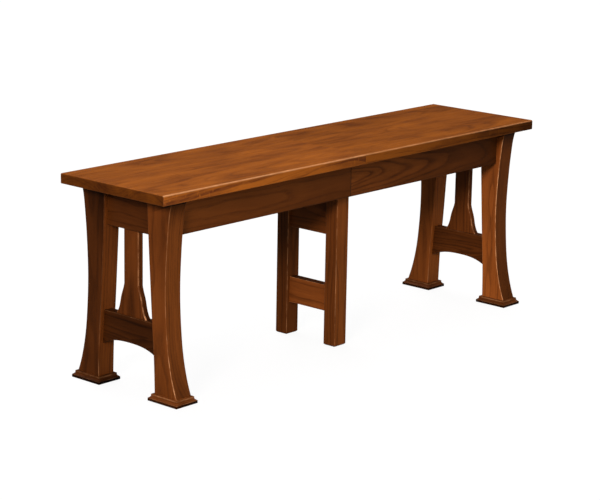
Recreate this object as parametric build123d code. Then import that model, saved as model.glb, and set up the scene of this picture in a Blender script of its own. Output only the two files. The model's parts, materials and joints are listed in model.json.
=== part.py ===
from build123d import *
import math
import os

# Extension bench in stained oak: two seat halves on splayed end legs slide apart along X
# from a fixed centre leg. Millimetres, +Z up, front at -Y, origin on the floor at mid length.

# closed bench
bench_length = 1219.0
bench_height = 443.5
seat_width = 302.0
seat_thick = 22.0
seat_board_count = 3
seat_top_round = 3.0
seat_bottom_round = 1.5
seam_gap = 0.3
extension = 305.0

# end legs, with reaches and insets measured outwards from mid width
leg_setback = 40.5
leg_thick = 43.0
leg_head_reach = 133.0
leg_waist_reach = 114.5
leg_foot_reach = 146.5
leg_head_inset = 61.5
leg_foot_inset = 83.5
leg_edge_round = 1.5
leg_waist_share = 0.53
foot_flare_shares = [(1.0, 1.0), (0.93, 0.82), (0.79, 0.54), (0.6, 0.28), (0.37, 0.11), (0.17, 0.025)]
head_flare_shares = [(0.16, 0.03), (0.37, 0.14), (0.55, 0.27), (0.77, 0.5), (0.9, 0.7), (1.0, 1.0)]
leg_inner_shares = [(0.0, 1.0), (0.2, 0.87), (0.4, 0.61), (0.58, 0.4), (0.75, 0.21), (1.0, 0.0)]

# moulded foot blocks
foot_height = 15.5
foot_length = 61.0
foot_outer_margin = 10.0
foot_inner_margin = 11.0
foot_base_chamfer = 1.2
foot_lip_height = 3.6
foot_slope_inset = 6.0
foot_slope_top = 11.6
foot_bead_inset = 7.6
foot_bead_round = 1.4

# side aprons and end rails under the seat
apron_face_reach = 109.5
apron_thick = 19.0
apron_height = 78.5
rail_thick = 22.0
end_rail_height = 80.5

# end stretchers and splats
stretcher_floor_gap = 84.5
stretcher_height = 74.0
stretcher_arch_rise = 18.0
arch_shares = [(-1.0, 0.0), (-0.74, 0.55), (-0.42, 0.9), (0.0, 1.0), (0.42, 0.9), (0.74, 0.55), (1.0, 0.0)]
splat_thick = 14.0
splat_width = 43.0
splat_foot_width = 89.0
splat_flare_height = 67.0
splat_flare_shares = [(0.0, 1.0), (0.12, 0.78), (0.36, 0.54), (0.62, 0.36), (0.84, 0.13), (1.0, 0.0)]

# mortise and tenon joints
tenon_thick = 10.0
tenon_shoulder = 10.0
apron_tenon_length = 25.0
rail_tenon_length = 20.0
centre_tenon_length = 16.0
splat_tenon_length = 10.0
splat_tenon_shoulder = 6.0

# corner blocks behind the legs
corner_block_length = 30.0
corner_block_width = 26.0
corner_block_height = 41.0

# centre leg
post_size_x = 38.0
post_size_y = 33.0
post_outer_reach = 88.8
post_chamfer = 2.5
centre_rail_thick = 22.0
centre_upper_rail_floor_gap = 250.5
centre_stretcher_floor_gap = 75.0
centre_stretcher_height = 59.5
top_plate_length = 80.0
top_plate_thick = 13.0

# wooden slides: a fixed runner between a left one on its inner side and a right one outside
runner_width = 18.0
runner_gap = 0.3
runner_reach = 59.0
centre_runner_height = 36.0
centre_runner_half = 250.0
runner_top_gap = 1.0
runner_plate_gap = 1.5
runner_leg_gap = 57.0
tongue_depth = 5.5
tongue_mouth = 8.0
tongue_tip = 12.0
tongue_height = 9.5
tongue_clearance = 0.3

# equaliser: a pinion in each centre runner between two racks
gear_module = 1.5
pinion_teeth = 16
pressure_angle = 20.0
backlash = 0.5
tooth_root_share = 1.25
rack_tip_share = 0.8
gear_face = 8.0
gear_slot_clearance = 0.5
gear_level = 25.5
rack_back = 3.0
rack_margin = 18.0
axle_radius = 3.0
axle_length = 25.0
axle_clearance = 0.05
flank_steps = 6

# seam dowels
dowel_radius = 4.0
dowel_length = 30.0
dowel_seat_depth = 16.0
dowel_clearance = 0.3
dowel_nose = 1.5

# seam latch
latch_plate_length = 50.0
latch_plate_width = 26.0
latch_plate_thick = 2.5
latch_pivot_setback = 45.0
latch_stud_setback = 16.0
latch_pivot_radius = 4.0
latch_pivot_clearance = 0.1
latch_head_radius = 7.0
latch_head_thick = 1.6
latch_spacer_height = 3.4
latch_bar_thick = 4.0
latch_bar_width = 12.0
latch_bar_gap = 0.3
latch_handle_length = 40.0
latch_tip_length = 8.0
latch_stud_radius = 3.5
latch_stud_head_radius = 5.0
latch_slot_clearance = 0.8
latch_open_angle = 14.0
keeper_plate_length = 30.0

# wood screws
screw_shank_radius = 2.0
screw_head_radius = 4.0
screw_head_height = 2.6
screw_rim_height = 0.4
screw_tip_length = 5.0
screw_slot_width = 0.9
screw_slot_depth = 1.1
counterbore_clearance = 0.6
foot_screw_length = 40.0
foot_screw_sink = 2.0
foot_screw_spacing = 30.0
apron_screw_length = 45.0
apron_screw_bite = 11.0
apron_screw_count = 3
apron_screw_end_margin = 60.0
runner_screw_length = 36.0
runner_screw_bite = 11.0
runner_screw_count = 4
runner_screw_end_margin = 45.0
runner_screw_inset = 5.5
plate_runner_screw_length = 29.0
plate_runner_screw_margin = 12.0
plate_down_screw_length = 45.0
plate_post_screw_inset = 11.1
plate_rail_screw_spacing = 50.0
block_leg_screw_length = 42.0
block_apron_screw_length = 40.0
block_screw_spacing = 16.0
small_screw_length = 15.0
small_screw_margin = 6.0

cut_overrun = 2.0
down = Rot(180, 0, 0)

seat_underside = bench_height - seat_thick
half_length = bench_length / 2
seam_face = seam_gap / 2
leg_outer_x = half_length - leg_setback
leg_inner_x = leg_outer_x - leg_thick
leg_mid_x = leg_outer_x - leg_thick / 2
apron_inner_reach = apron_face_reach - apron_thick
post_inner_reach = post_outer_reach - post_size_y
centre_runner_top = seat_underside - runner_top_gap
plate_top = centre_runner_top - centre_runner_height
plate_bottom = plate_top - top_plate_thick
runner_bottom = plate_top + runner_plate_gap
tongue_level = plate_top + tongue_height
gear_mid_level = plate_top + gear_level
pitch_radius = gear_module * pinion_teeth / 2
tooth_pitch = math.pi * gear_module
tooth_root = tooth_root_share * gear_module
runner_nose = extension + rack_margin
runner_tail = leg_inner_x - runner_leg_gap
ends = {"left": -1, "right": 1}
faces = {"front": -1, "back": 1}


def block(x, y, z):
    """Box between two limits along each axis."""
    sizes = [abs(b - a) for a, b in (x, y, z)]
    middles = [(a + b) / 2 for a, b in (x, y, z)]
    return Pos(*middles) * Box(*sizes)


def plate_along_x(outline, middle, thick):
    """Outline drawn in Y and Z, carried along X about a middle plane."""
    return Pos(middle - thick / 2, 0, 0) * extrude(Plane.YZ * outline, amount=thick)


def plate_along_z(outline, low, thick):
    """Outline drawn in X and Y, carried upwards from a level."""
    return Pos(0, 0, low) * extrude(outline, amount=thick)


def rod(x, y, low, high, radius):
    """Upright round bar between two levels."""
    return Pos(x, y, (low + high) / 2) * Cylinder(radius, high - low)


def group(solids):
    """Separate solids kept together in one node."""
    return Compound(children=list(solids))


def spread(first, last, count):
    """Evenly spaced places from the first to the last."""
    return [first + (last - first) * i / (count - 1) for i in range(count)]


def screw_envelope(length, sink):
    """Countersunk screw without its slot, along +Z, over the counterbore that its head sits in."""
    points = [
        (0, 0), (screw_head_radius, 0), (screw_head_radius, screw_rim_height),
        (screw_shank_radius, screw_head_height), (screw_shank_radius, length - screw_tip_length),
        (0, length),
    ]
    body = revolve(Plane.XZ * make_face(Polyline(*points, close=True)), Axis.Z)
    if sink > 0:
        bore = screw_head_radius + counterbore_clearance
        body = body + rod(0, 0, -sink, 0, bore)
    return body


def screw(length):
    """Countersunk wood screw along +Z with a straight slot in its head."""
    slot = Pos(0, 0, screw_slot_depth / 2) * Box(
        2 * screw_head_radius + cut_overrun, screw_slot_width, screw_slot_depth)
    return screw_envelope(length, 0) - slot


def fasten(parts, name, hosts, places, length, sink):
    """Drives a group of like screws at the places and bores their hosts for them."""
    for place in places:
        hole = place * screw_envelope(length, sink)
        for host in hosts:
            parts[host] = parts[host] - hole
    add_to_group(parts, name, [place * screw(length) for place in places])


def add_to_group(parts, name, solids):
    """Adds solids to a group node, which it starts when there is none."""
    known = list(parts[name].solids()) if name in parts else []
    parts[name] = group(known + list(solids))


def seat_half(side):
    """One half of the seat slab with eased edges, but a square edge at the seam."""
    slab = block((side * seam_face, side * half_length), (-seat_width / 2, seat_width / 2),
                 (seat_underside, bench_height))
    seam = [e for e in slab.edges() if abs(abs(e.center().X) - seam_face) < seam_gap]
    top = [e for e in slab.edges().group_by(Axis.Z)[-1] if e not in seam]
    slab = fillet(top, seat_top_round)
    low = slab.edges().filter_by(GeomType.LINE).group_by(Axis.Z)[0]
    low = [e for e in low if abs(abs(e.center().X) - seam_face) > seam_gap]
    return fillet(low, seat_bottom_round)


def seat_boards(side):
    """The boards that the seat half is glued up from, front one first."""
    slab = seat_half(side)
    width = seat_width / seat_board_count
    boards = []
    for i in range(seat_board_count):
        low = -seat_width / 2 + i * width
        strip = block((0, side * bench_length), (low, low + width), (0, 2 * bench_height))
        boards.append(slab & strip)
    return boards


def leg_outline():
    """Outline of a back leg seen from the end: curved outside, nearly straight inside."""
    rise = seat_underside - foot_height
    waist = foot_height + leg_waist_share * rise
    low = [(leg_waist_reach + out * (leg_foot_reach - leg_waist_reach), waist - fall * (waist - foot_height))
           for fall, out in foot_flare_shares]
    high = [(leg_waist_reach + out * (leg_head_reach - leg_waist_reach),
             waist + lift * (seat_underside - waist)) for lift, out in head_flare_shares]
    outer = low + [(leg_waist_reach, waist)] + high
    inner = [(leg_head_inset + out * (leg_foot_inset - leg_head_inset), foot_height + lift * rise)
             for lift, out in leg_inner_shares]
    return make_face([Spline(*outer), Line(outer[-1], inner[-1]), Spline(*inner), Line(inner[0], outer[0])])


def leg_blank(side, face):
    """A leg before its mortises are cut, with its long edges eased."""
    leg = plate_along_x(leg_outline(), leg_mid_x, leg_thick)
    long_edges = [e for e in leg.edges() if e.geom_type == GeomType.BSPLINE]
    leg = fillet(long_edges, leg_edge_round)
    if face < 0:
        leg = mirror(leg, about=Plane.XZ)
    return mirror(leg, about=Plane.YZ) if side < 0 else leg


def foot_block(side, face):
    """Moulded block under a leg: base chamfer, lip, slope and a small rounded bead."""
    inner = leg_foot_inset - foot_inner_margin
    outer = leg_foot_reach + foot_outer_margin
    layers = [
        (foot_base_chamfer, 0), (0, foot_base_chamfer), (0, foot_base_chamfer + foot_lip_height),
        (foot_slope_inset, foot_slope_top), (foot_slope_inset, foot_height - foot_bead_round),
        (foot_bead_inset, foot_height),
    ]
    sections = [
        Pos(side * leg_mid_x, face * (inner + outer) / 2, level)
        * Rectangle(foot_length - 2 * inset, outer - inner - 2 * inset)
        for inset, level in layers
    ]
    return loft(sections, ruled=True)


def apron(side, face):
    """Side apron from the seam to its leg, with the tenon that enters the leg."""
    board = block((side * seam_face, side * leg_inner_x),
                  (face * apron_inner_reach, face * apron_face_reach),
                  (seat_underside - apron_height, seat_underside))
    middle = apron_face_reach - apron_thick / 2
    tenon = block((side * (leg_inner_x - cut_overrun), side * (leg_inner_x + apron_tenon_length)),
                  (face * (middle - tenon_thick / 2), face * (middle + tenon_thick / 2)),
                  (seat_underside - apron_height + tenon_shoulder, seat_underside - tenon_shoulder))
    return board + tenon


def cross_tenon(side, low, high, reach):
    """Tenons at both ends of a cross piece, as one bar that runs through it."""
    middle = side * leg_mid_x
    return block((middle - tenon_thick / 2, middle + tenon_thick / 2), (-reach, reach), (low, high))


def end_rail(side, blanks):
    """Rail under the seat end, scribed to the legs, and its tenon bar."""
    low = seat_underside - end_rail_height
    middle = side * leg_mid_x
    rail = block((middle - rail_thick / 2, middle + rail_thick / 2), (-leg_waist_reach, leg_waist_reach),
                 (low, seat_underside))
    rail = middle_piece(rail - blanks[0] - blanks[1])
    bar = cross_tenon(side, low + tenon_shoulder, seat_underside - tenon_shoulder,
                      leg_head_inset + rail_tenon_length)
    return rail + bar, bar


def middle_piece(shape):
    """The solid of a cut shape that lies nearest to mid width."""
    return min(shape.solids(), key=lambda s: abs(s.center().Y))


def stretcher(side, blanks):
    """Arched stretcher between the legs of one end, scribed to them, and its tenon bar."""
    top = stretcher_floor_gap + stretcher_height
    arch = [(share * leg_foot_inset, stretcher_floor_gap + rise * stretcher_arch_rise)
            for share, rise in arch_shares]
    reach = leg_waist_reach
    corners = [arch[-1], (reach, stretcher_floor_gap), (reach, top), (-reach, top),
               (-reach, stretcher_floor_gap), arch[0]]
    outline = make_face([Spline(*arch), Polyline(*corners)])
    body = plate_along_x(outline, side * leg_mid_x, rail_thick)
    body = middle_piece(body - blanks[0] - blanks[1])
    bar = cross_tenon(side, stretcher_floor_gap + stretcher_arch_rise + tenon_shoulder / 2,
                      top - tenon_shoulder, leg_foot_inset + rail_tenon_length)
    return body + bar, bar


def splat(side):
    """Upright splat with an ogee foot, and the tenon bar at its two ends."""
    low = stretcher_floor_gap + stretcher_height
    high = seat_underside - end_rail_height
    half, foot_half = splat_width / 2, splat_foot_width / 2
    flare = [(half + out * (foot_half - half), low + lift * splat_flare_height)
             for lift, out in splat_flare_shares]
    back = [(-y, z) for y, z in reversed(flare)]
    outline = make_face([
        Spline(*flare), Polyline(flare[-1], (half, high), (-half, high), back[0]),
        Spline(*back), Line(back[-1], flare[0]),
    ])
    body = plate_along_x(outline, side * leg_mid_x, splat_thick)
    middle, thin = side * leg_mid_x, tenon_thick / 2
    bar = block((middle - thin, middle + thin), (-half + splat_tenon_shoulder, half - splat_tenon_shoulder),
                (low - splat_tenon_length, high + splat_tenon_length))
    return body + bar, bar


def corner_block(side, face):
    """Block in the corner between a leg and its apron."""
    return block((side * (leg_inner_x - corner_block_length), side * leg_inner_x),
                 (face * (apron_inner_reach - corner_block_width), face * apron_inner_reach),
                 (seat_underside - corner_block_height, seat_underside))


def tongue_outline(grow, outward):
    """Dovetail tongue in Y and Z, root on the origin, pointing towards +Y or -Y."""
    mouth, tip = tongue_mouth / 2 + grow, tongue_tip / 2 + grow
    deep, root = outward * (tongue_depth + grow), -outward * cut_overrun
    return make_face(Polyline((root, -mouth), (0, -mouth), (deep, -tip), (deep, tip), (0, mouth),
                              (root, mouth), close=True))


def bar_along_x(outline, start, stop):
    """Outline drawn in Y and Z, carried along X between two places."""
    low, high = sorted((start, stop))
    return plate_along_x(outline, (low + high) / 2, high - low)


def centre_runner(face):
    """Fixed runner with a dovetail groove in each side and a slot for its pinion."""
    half = runner_width / 2
    body = block((-centre_runner_half, centre_runner_half),
                 (face * (runner_reach - half), face * (runner_reach + half)),
                 (plate_top, centre_runner_top))
    for outward in (-1, 1):
        wall = face * runner_reach + outward * half
        groove = bar_along_x(tongue_outline(tongue_clearance, -outward),
                             -bench_length, bench_length)
        body = body - Pos(0, wall, tongue_level) * groove
    reach = pitch_radius + gear_module + gear_slot_clearance
    slot_half = gear_face / 2 + gear_slot_clearance
    body = body - block((-reach, reach), (face * (runner_reach - reach), face * (runner_reach + reach)),
                        (gear_mid_level - slot_half, gear_mid_level + slot_half))
    return body - axle(face)


def axle(face):
    """Steel pin that a pinion turns on, let into the top of its runner."""
    return rod(0, face * runner_reach, centre_runner_top - axle_length, centre_runner_top, axle_radius)


def rack_span(side):
    """Where the toothed strip of one half starts and stops along X."""
    return side * rack_margin, -side * runner_nose


def side_runner(side, face):
    """Runner of one half: tail under its own seat, planed nose past the seam, tongue and rack bed."""
    outward = side * face
    half = runner_width / 2
    near = face * runner_reach + outward * (half + runner_gap)
    far = near + outward * runner_width
    body = block((side * runner_tail, -side * runner_nose), (near, far), (runner_bottom, centre_runner_top))
    pad = block((side * runner_tail, side * seam_face), (near, far), (centre_runner_top, seat_underside))
    tongue = bar_along_x(tongue_outline(0, -outward), side * runner_tail, -side * runner_nose)
    body = body + pad + Pos(0, near, tongue_level) * tongue
    bed = face * runner_reach + outward * (pitch_radius + tooth_root + rack_back)
    slot_half = gear_face / 2 + gear_slot_clearance
    start, stop = rack_span(side)
    return body - block((start, stop - side * cut_overrun), (near - outward * cut_overrun, bed),
                        (gear_mid_level - slot_half, gear_mid_level + slot_half))


def rack(side, face):
    """Toothed steel strip with straight flanks, one tooth centred on the pinion at rest."""
    outward = side * face
    centre = face * runner_reach
    start, stop = sorted(rack_span(side))
    tip = rack_tip_share * gear_module
    lean = math.tan(math.radians(pressure_angle))
    half = tooth_pitch / 4 - backlash / 4
    tip_half, root_half = half - tip * lean, half + tooth_root * lean
    tip_y = centre + outward * (pitch_radius - tip)
    root_y = centre + outward * (pitch_radius + tooth_root)
    back_y = root_y + outward * rack_back
    first = math.ceil((start + root_half) / tooth_pitch)
    last = math.floor((stop - root_half) / tooth_pitch)
    points = [(start, back_y), (start, root_y)]
    for i in range(first, last + 1):
        x = i * tooth_pitch
        points += [(x - root_half, root_y), (x - tip_half, tip_y), (x + tip_half, tip_y), (x + root_half, root_y)]
    points += [(stop, root_y), (stop, back_y)]
    return plate_along_z(make_face(Polyline(*points, close=True)), gear_mid_level - gear_face / 2, gear_face)


def involute(angle):
    """Involute function of an angle in radians."""
    return math.tan(angle) - angle


def pinion(face):
    """Spur pinion with involute flanks, a tooth gap facing each rack, bored for its axle."""
    slope = math.radians(pressure_angle)
    base = pitch_radius * math.cos(slope)
    tip, root = pitch_radius + gear_module, pitch_radius - tooth_root
    half_at_pitch = (tooth_pitch / 2 - backlash / 2) / (2 * pitch_radius)
    flank = [(root, half_at_pitch + involute(slope))]
    for radius in spread(base, tip, flank_steps):
        bend = involute(math.acos(min(1, base / radius)))
        flank.append((radius, half_at_pitch + involute(slope) - bend))
    points = []
    for i in range(pinion_teeth):
        middle = math.pi / 2 + (i + 1 / 2) * 2 * math.pi / pinion_teeth
        for sign, run in ((-1, flank), (1, reversed(flank))):
            for radius, half in run:
                turn = middle + sign * half
                points.append((radius * math.cos(turn), radius * math.sin(turn)))
    wheel = plate_along_z(make_face(Polyline(*points, close=True)), gear_mid_level - gear_face / 2, gear_face)
    wheel = Pos(0, face * runner_reach, 0) * wheel
    bore = rod(0, face * runner_reach, plate_top, bench_height, axle_radius + axle_clearance)
    return wheel - bore


def post(face):
    """Square post of the centre leg, chamfered at the floor."""
    body = block((-post_size_x / 2, post_size_x / 2), (face * post_inner_reach, face * post_outer_reach),
                 (0, plate_bottom))
    return chamfer(body.edges().group_by(Axis.Z)[0], post_chamfer)


def centre_cross_piece(low, high):
    """Cross piece of the centre leg between the posts, and its tenon bar."""
    board = block((-centre_rail_thick / 2, centre_rail_thick / 2), (-post_inner_reach, post_inner_reach),
                  (low, high))
    reach = post_inner_reach + centre_tenon_length
    bar = block((-tenon_thick / 2, tenon_thick / 2), (-reach, reach),
                (low + tenon_shoulder, high - tenon_shoulder))
    return board + bar, bar


def dowel_places():
    """Y and Z of the seam dowels: one in each seat board and one in each apron."""
    width = seat_width / seat_board_count
    seat = [(-seat_width / 2 + (i + 1 / 2) * width, (seat_underside + bench_height) / 2)
            for i in range(seat_board_count)]
    middle = apron_face_reach - apron_thick / 2
    return seat + [(face * middle, seat_underside - apron_height / 2) for face in faces.values()]


def rod_along_x(start, stop, y, z, radius):
    """Round bar along X between two places."""
    low, high = sorted((start, stop))
    return Pos((low + high) / 2, y, z) * Rot(0, 90, 0) * Cylinder(radius, high - low)


def seam_dowel(y, z):
    """Dowel glued into the right half, with its rounded nose in a clearance hole of the left half."""
    body = rod_along_x(seam_face + dowel_seat_depth, seam_face + dowel_seat_depth - dowel_length, y, z,
                       dowel_radius)
    return chamfer(body.edges().group_by(Axis.X)[0], dowel_nose)


def dowel_hole(side, y, z):
    """Hole for a seam dowel: tight in the right half, loose and deeper in the left half."""
    if side > 0:
        return rod_along_x(seam_face - cut_overrun, seam_face + dowel_seat_depth, y, z, dowel_radius)
    deep = dowel_length - dowel_seat_depth + cut_overrun
    return rod_along_x(-seam_face + cut_overrun, -seam_face - deep, y, z, dowel_radius + dowel_clearance)


def latch_levels():
    """Levels of the latch: plate underside, bar top, bar underside and head underside."""
    plate = seat_underside - latch_plate_thick
    bar_top = plate - latch_spacer_height
    bar_low = bar_top - latch_bar_thick
    return plate, bar_top, bar_low, bar_low - latch_bar_gap - latch_head_thick


def latch_base():
    """Plate under the left seat with the shouldered and headed pivot of the lever."""
    plate, bar_top, bar_low, head_low = latch_levels()
    x = -latch_pivot_setback
    half = latch_plate_length / 2
    body = block((x - half, x + half), (-latch_plate_width / 2, latch_plate_width / 2), (plate, seat_underside))
    body = body + rod(x, 0, head_low, plate, latch_pivot_radius)
    body = body + rod(x, 0, bar_top + latch_bar_gap, plate, latch_head_radius)
    return body + rod(x, 0, head_low, head_low + latch_head_thick, latch_head_radius)


def keeper_start():
    """Where the keeper plate begins, just past the seam."""
    return latch_stud_setback - latch_head_radius - latch_bar_gap


def latch_keeper():
    """Plate under the right seat with the headed stud that the lever hooks."""
    plate, bar_top, bar_low, head_low = latch_levels()
    x = latch_stud_setback
    start = keeper_start()
    body = block((start, start + keeper_plate_length), (-latch_plate_width / 2, latch_plate_width / 2),
                 (plate, seat_underside))
    body = body + rod(x, 0, head_low, plate, latch_stud_radius)
    return body + rod(x, 0, head_low, head_low + latch_head_thick, latch_stud_head_radius)


def latch_lever():
    """Flat lever with a handle and a side slot for the stud, swung clear of the stud."""
    bar_low = latch_levels()[2]
    reach = latch_pivot_setback + latch_stud_setback
    bar = SlotOverall(latch_handle_length + reach + latch_tip_length, latch_bar_width)
    bar = Pos((reach + latch_tip_length - latch_handle_length) / 2, 0) * bar
    slot_half = latch_stud_radius + latch_slot_clearance
    mouth = Pos(reach, latch_bar_width / 2) * Rectangle(2 * slot_half, latch_bar_width)
    outline = bar - mouth - Pos(reach, 0) * Circle(slot_half)
    outline = outline - Circle(latch_pivot_radius + latch_pivot_clearance)
    lever = plate_along_z(outline, bar_low, latch_bar_thick)
    return Pos(-latch_pivot_setback, 0, 0) * Rot(0, 0, -latch_open_angle) * lever


def build_end(parts, side_name):
    """Seat half, aprons, legs, feet, rails and splat of one end, jointed together."""
    side = ends[side_name]
    boards = seat_boards(side)
    for place, board in zip(("front", "middle", "back"), boards):
        parts[f"{side_name}_seat_{place}_board"] = board
    blanks = [leg_blank(side, face) for face in faces.values()]
    rail, rail_bar = end_rail(side, blanks)
    cross, cross_bar = stretcher(side, blanks)
    slat, slat_bar = splat(side)
    parts[f"{side_name}_end_rail"] = rail - slat_bar
    parts[f"{side_name}_stretcher"] = cross - slat_bar
    parts[f"{side_name}_splat"] = slat
    for (face_name, face), blank in zip(faces.items(), blanks):
        board = apron(side, face)
        parts[f"{side_name}_{face_name}_apron"] = board
        parts[f"{side_name}_{face_name}_leg"] = blank - rail_bar - cross_bar - board
        parts[f"{side_name}_{face_name}_foot"] = foot_block(side, face)
        parts[f"{side_name}_{face_name}_runner"] = side_runner(side, face)
    parts[f"{side_name}_racks"] = group(rack(side, face) for face in faces.values())
    parts[f"{side_name}_corner_blocks"] = group(corner_block(side, face) for face in faces.values())


def screw_end(parts, side_name):
    """Screws of one half: feet, corner blocks, aprons and runners."""
    side = ends[side_name]
    seat = [f"{side_name}_seat_{place}_board" for place in ("front", "middle", "back")]
    foot_mid = (leg_foot_inset + leg_foot_reach) / 2
    apron_mid = apron_face_reach - apron_thick / 2
    apron_head = seat_underside + apron_screw_bite - apron_screw_length
    runner_head = seat_underside + runner_screw_bite - runner_screw_length
    block_mid = apron_inner_reach - corner_block_width / 2
    block_low = seat_underside - corner_block_height / 2
    for face_name, face in faces.items():
        leg, foot = f"{side_name}_{face_name}_leg", f"{side_name}_{face_name}_foot"
        offsets = (-foot_screw_spacing / 2, foot_screw_spacing / 2)
        places = [Pos(side * leg_mid_x, face * (foot_mid + o), foot_screw_sink) for o in offsets]
        fasten(parts, f"{side_name}_foot_screws", [leg, foot], places, foot_screw_length, foot_screw_sink)

        board = f"{side_name}_{face_name}_apron"
        stations = spread(apron_screw_end_margin, leg_inner_x - apron_screw_end_margin, apron_screw_count)
        places = [Pos(side * x, face * apron_mid, apron_head) for x in stations]
        fasten(parts, f"{side_name}_apron_screws", [board] + seat, places, apron_screw_length,
               apron_head - (seat_underside - apron_height))

        runner = f"{side_name}_{face_name}_runner"
        far = runner_reach + side * (runner_width / 2 + runner_gap + runner_width - runner_screw_inset)
        stations = spread(runner_screw_end_margin, runner_tail - runner_screw_end_margin, runner_screw_count)
        places = [Pos(side * x, face * far, runner_head) for x in stations]
        fasten(parts, f"{side_name}_runner_screws", [runner] + seat, places, runner_screw_length,
               runner_head - runner_bottom)

        blocks = f"{side_name}_corner_blocks"
        into_leg = Pos(side * (leg_inner_x - corner_block_length), face * block_mid,
                       block_low + block_screw_spacing / 2) * Rot(0, side * 90, 0)
        fasten(parts, f"{side_name}_block_screws", [blocks, leg], [into_leg], block_leg_screw_length, 0)
        into_apron = Pos(side * (leg_inner_x - corner_block_length / 2),
                         face * (apron_inner_reach - corner_block_width),
                         block_low - block_screw_spacing / 2) * Rot(-face * 90, 0, 0)
        fasten(parts, f"{side_name}_block_screws", [blocks, board], [into_apron], block_apron_screw_length, 0)


def build_centre(parts):
    """Centre leg, its top plate, the fixed runners, axles and pinions."""
    upper, upper_bar = centre_cross_piece(centre_upper_rail_floor_gap, plate_bottom)
    lower, lower_bar = centre_cross_piece(centre_stretcher_floor_gap,
                                          centre_stretcher_floor_gap + centre_stretcher_height)
    parts["centre_upper_rail"] = upper
    parts["centre_lower_stretcher"] = lower
    parts["centre_top_plate"] = block((-top_plate_length / 2, top_plate_length / 2),
                                      (-post_outer_reach, post_outer_reach), (plate_bottom, plate_top))
    for name, face in faces.items():
        parts[f"centre_{name}_post"] = post(face) - upper_bar - lower_bar
        parts[f"centre_{name}_runner"] = centre_runner(face)
        parts[f"{name}_pinion"] = pinion(face)
    parts["pinion_axles"] = group(axle(face) for face in faces.values())


def screw_centre(parts):
    """Screws of the centre leg: plate to runners, posts and upper rail."""
    station = top_plate_length / 2 - plate_runner_screw_margin
    for name, face in faces.items():
        places = [Pos(x, face * runner_reach, plate_bottom) for x in (-station, station)]
        fasten(parts, "centre_screws", ["centre_top_plate", f"centre_{name}_runner"], places,
               plate_runner_screw_length, 0)
        place = Pos(0, face * (post_outer_reach - plate_post_screw_inset), plate_top) * down
        fasten(parts, "centre_screws", ["centre_top_plate", f"centre_{name}_post"], [place],
               plate_down_screw_length, 0)
        place = Pos(0, face * plate_rail_screw_spacing / 2, plate_top) * down
        fasten(parts, "centre_screws", ["centre_top_plate", "centre_upper_rail"], [place],
               plate_down_screw_length, 0)


def build_seam(parts):
    """Dowels and latch across the seam."""
    places = dowel_places()
    width = seat_width / seat_board_count
    for side_name, side in ends.items():
        hosts = [f"{side_name}_seat_{place}_board" for place in ("front", "middle", "back")]
        hosts += [f"{side_name}_{name}_apron" for name in faces]
        for host, (y, z) in zip(hosts, places):
            parts[host] = parts[host] - dowel_hole(side, y, z)
    parts["seam_dowels"] = group(seam_dowel(y, z) for y, z in places)
    parts["latch_base"] = latch_base()
    parts["latch_lever"] = latch_lever()
    parts["latch_keeper"] = latch_keeper()
    plate = latch_levels()[0]
    offset = latch_plate_length / 2 - small_screw_margin
    places = [Pos(-latch_pivot_setback + x, 0, plate) for x in (-offset, offset)]
    fasten(parts, "latch_base_screws", ["latch_base", "left_seat_middle_board"], places, small_screw_length, 0)
    x = keeper_start() + keeper_plate_length - small_screw_margin
    side_y = latch_plate_width / 2 - small_screw_margin
    places = [Pos(x, y, plate) for y in (-side_y, side_y)]
    fasten(parts, "latch_keeper_screws", ["latch_keeper", "right_seat_middle_board"], places,
           small_screw_length, 0)


def build():
    """Every node of the bench by name."""
    parts = {}
    build_centre(parts)
    screw_centre(parts)
    for side_name in ends:
        build_end(parts, side_name)
        screw_end(parts, side_name)
    build_seam(parts)
    return parts


os.makedirs("parts", exist_ok=True)
for node, shape in build().items():
    export_step(shape, f"parts/{node}.step")
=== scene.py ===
"""Oak extension bench: two seat halves on splayed ends slide out from a fixed centre leg."""

import json
import math

import bpy
import numpy as np
from bpy.props import FloatProperty, FloatVectorProperty, PointerProperty
from bpy.types import Operator, Panel, PropertyGroup
from mathutils import Matrix, Vector

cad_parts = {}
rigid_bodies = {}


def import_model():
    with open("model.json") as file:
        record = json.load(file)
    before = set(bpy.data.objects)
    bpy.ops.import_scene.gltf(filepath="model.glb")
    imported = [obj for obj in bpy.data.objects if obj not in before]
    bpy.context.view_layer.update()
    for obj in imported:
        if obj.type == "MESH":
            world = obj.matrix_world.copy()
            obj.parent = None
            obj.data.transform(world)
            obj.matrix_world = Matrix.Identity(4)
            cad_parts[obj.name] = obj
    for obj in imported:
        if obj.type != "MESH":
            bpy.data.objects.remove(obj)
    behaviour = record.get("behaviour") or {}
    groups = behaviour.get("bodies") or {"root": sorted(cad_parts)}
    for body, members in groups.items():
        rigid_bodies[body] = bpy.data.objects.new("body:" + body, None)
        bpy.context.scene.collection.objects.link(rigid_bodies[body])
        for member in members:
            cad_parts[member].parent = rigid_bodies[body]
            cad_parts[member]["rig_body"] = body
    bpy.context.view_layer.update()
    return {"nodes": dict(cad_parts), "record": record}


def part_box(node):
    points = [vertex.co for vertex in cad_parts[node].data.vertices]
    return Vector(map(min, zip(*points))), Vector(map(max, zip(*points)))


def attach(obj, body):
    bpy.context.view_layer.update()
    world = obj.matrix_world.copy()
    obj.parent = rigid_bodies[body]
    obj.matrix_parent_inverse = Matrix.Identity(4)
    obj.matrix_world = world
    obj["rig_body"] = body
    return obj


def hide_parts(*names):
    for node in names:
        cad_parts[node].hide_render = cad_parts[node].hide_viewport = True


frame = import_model()

bl_info = {
    "name": "Oak extension bench",
    "version": (1, 0, 0),
    "blender": (4, 5, 0),
    "location": "View3D > Sidebar > Bench",
    "description": "Dresses a packed extension bench in stained oak, maple and steel",
    "category": "Add Mesh",
}

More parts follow.
